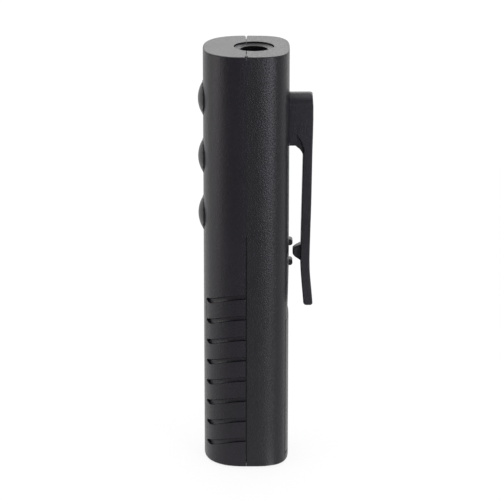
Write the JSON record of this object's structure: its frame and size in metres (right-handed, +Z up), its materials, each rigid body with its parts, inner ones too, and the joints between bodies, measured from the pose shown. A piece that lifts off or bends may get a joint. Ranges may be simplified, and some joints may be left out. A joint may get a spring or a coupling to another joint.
{
  "type": "counterfeit detector pen",
  "caption": "Slim upright handheld detector with a rounded-square body, push buttons on its front, a lamp in its top end, grip grooves, a spring pocket clip and a battery door.",
  "frame": {"origin": "centre of the flat base, on the parting line between the two shells", "axes": "+Z up along the body towards the lamp, -Y towards the buttons, +Y towards the pocket clip, X across the width"},
  "size_m": [0.0266, 0.0336, 0.125],
  "materials": {
    "case_plastic": "spark-eroded matte black",
    "clip_plastic": "satin black",
    "button_plastic": "satin black",
    "barrel_plastic": "matte black",
    "switch_plastic": "plain black",
    "board_laminate": "green solder mask",
    "plated_steel": "nickel plated",
    "led_resin": "clear",
    "cell_wrap": "printed wrap, left plain"
  },
  "bodies": {
    "housing": {"front_shell": "case_plastic", "rear_shell": "case_plastic", "clip_root": "clip_plastic", "clip_screws": "plated_steel", "switch_top": "plated_steel", "switch_middle": "plated_steel", "switch_bottom": "plated_steel", "main_board": "board_laminate", "board_screws": "plated_steel", "driver_chip": "switch_plastic", "inductor": "switch_plastic", "resistors": "switch_plastic", "lamp_barrel": "barrel_plastic", "lamp_board": "board_laminate", "led_ultraviolet": "led_resin", "led_white": "led_resin", "led_infrared": "led_resin", "battery_cradle": "barrel_plastic", "battery_cell": "cell_wrap", "positive_contact": "plated_steel", "negative_contact": "plated_steel", "battery_spring": "plated_steel"},
    "clip": {"clip_arm": "clip_plastic"},
    "door": {"battery_door": "case_plastic"},
    "upper_button": {"button_top": "button_plastic", "plunger_top": "switch_plastic"},
    "middle_button": {"button_middle": "button_plastic", "plunger_middle": "switch_plastic"},
    "lower_button": {"button_bottom": "button_plastic", "plunger_bottom": "switch_plastic"}
  },
  "joints": [
    {"name": "clip_flex", "type": "hinge", "parent": "housing", "child": "clip", "pos_m": [0, 0.01785, 0.1], "axis": [1, 0, 0], "range_deg": [-1.2, 9], "stiffness_Nm_per_rad": 2},
    {"name": "door_hinge", "type": "hinge", "parent": "housing", "child": "door", "pos_m": [0, 0.0125, 0.0025], "axis": [-1, 0, 0], "range_deg": [0, 50]},
    {"name": "upper_button_press", "type": "slide", "parent": "housing", "child": "upper_button", "axis": [0, 1, 0], "range_m": [0, 0.0005], "stiffness_N_per_m": 3000, "springref_m": -0.0003},
    {"name": "middle_button_press", "type": "slide", "parent": "housing", "child": "middle_button", "axis": [0, 1, 0], "range_m": [0, 0.0005], "stiffness_N_per_m": 3000, "springref_m": -0.0003},
    {"name": "lower_button_press", "type": "slide", "parent": "housing", "child": "lower_button", "axis": [0, 1, 0], "range_m": [0, 0.0005], "stiffness_N_per_m": 3000, "springref_m": -0.0003}
  ]
}
